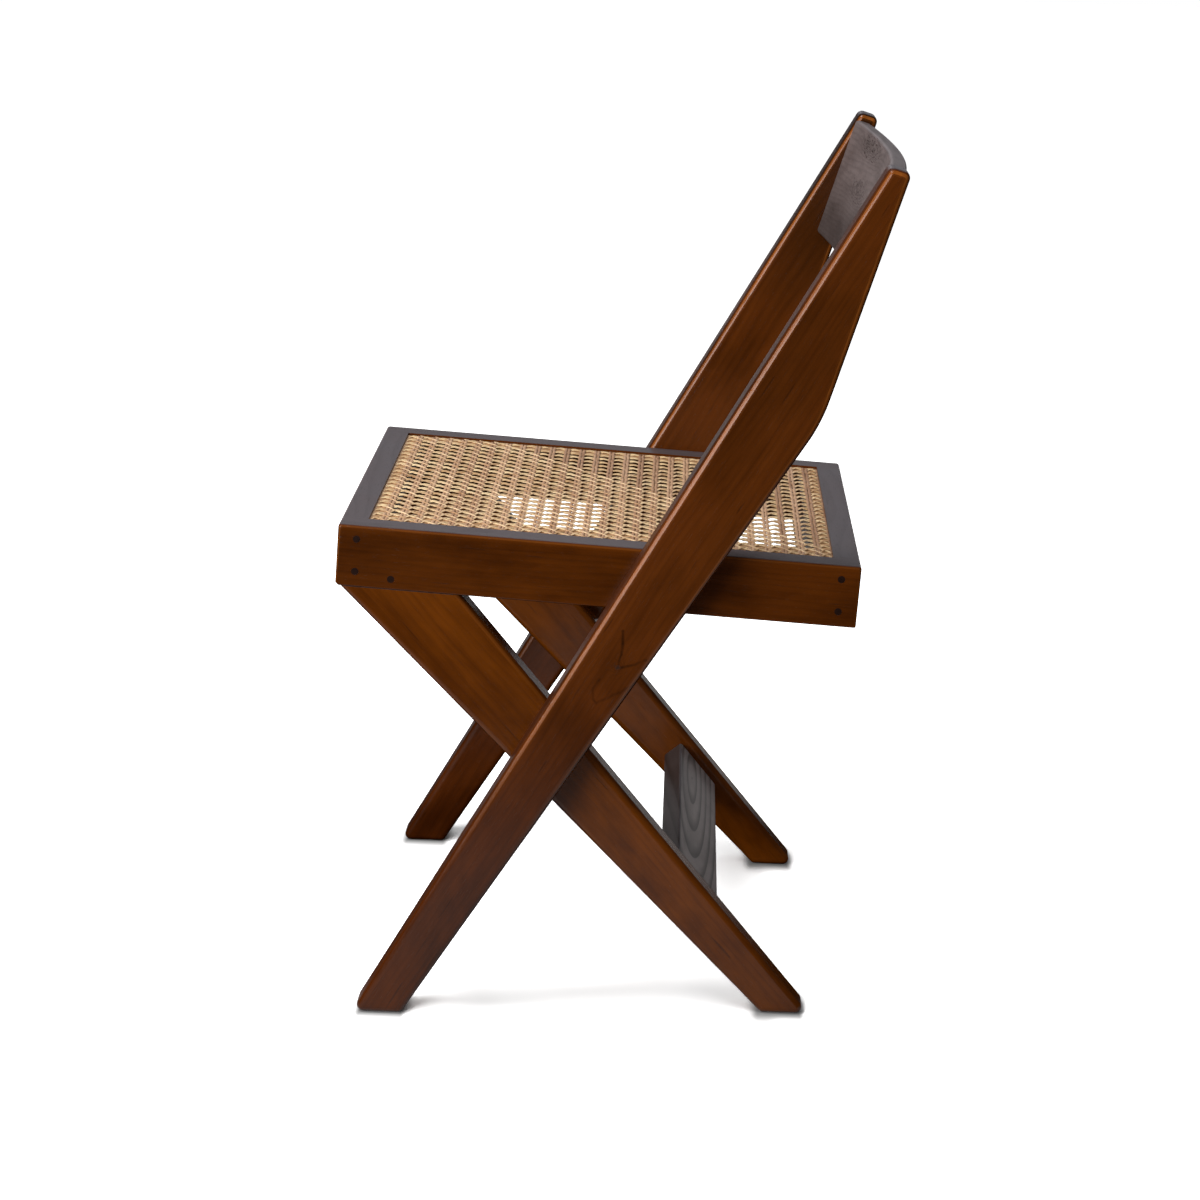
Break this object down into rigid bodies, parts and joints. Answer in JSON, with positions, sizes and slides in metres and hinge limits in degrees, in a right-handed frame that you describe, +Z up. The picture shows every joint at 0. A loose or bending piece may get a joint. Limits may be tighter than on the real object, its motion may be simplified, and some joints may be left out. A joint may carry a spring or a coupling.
{
  "type": "library chair",
  "caption": "Armless side chair with crossed legs at each side, a pegged wooden seat frame, a woven cane seat and a curved backrest board between the tall legs.",
  "frame": {"origin": "middle of the chair's bounding box, on the floor", "axes": "+Z up, -Y the way the sitter faces, +X the sitter's left"},
  "size_m": [0.47, 0.4936, 0.7799],
  "materials": {
    "leg_wood": "dark brown stained hardwood, satin lacquer",
    "seat_frame_wood": "dark brown stained hardwood, satin lacquer",
    "board_wood": "dark brown stained hardwood with knots, satin lacquer",
    "cane": "natural woven cane, unvarnished",
    "peg_wood": "near-black end grain of the pegs",
    "dowel_wood": "bare dowels, hidden in the joints"
  },
  "bodies": {
    "root": {"left_long_leg": "leg_wood", "right_long_leg": "leg_wood", "left_short_leg": "leg_wood", "right_short_leg": "leg_wood", "left_side_rail": "seat_frame_wood", "right_side_rail": "seat_frame_wood", "front_rail": "seat_frame_wood", "rear_rail": "seat_frame_wood", "backrest_board": "board_wood", "leg_stretcher": "board_wood", "cane_panel": "cane", "left_front_pegs": "peg_wood", "right_front_pegs": "peg_wood", "left_rear_pegs": "peg_wood", "right_rear_pegs": "peg_wood", "left_tenon_peg": "peg_wood", "right_tenon_peg": "peg_wood", "left_rail_dowels": "dowel_wood", "right_rail_dowels": "dowel_wood", "left_crossing_dowels": "dowel_wood", "right_crossing_dowels": "dowel_wood", "left_board_dowels": "dowel_wood", "right_board_dowels": "dowel_wood", "left_stretcher_dowels": "dowel_wood", "right_stretcher_dowels": "dowel_wood"}
  },
  "joints": []
}
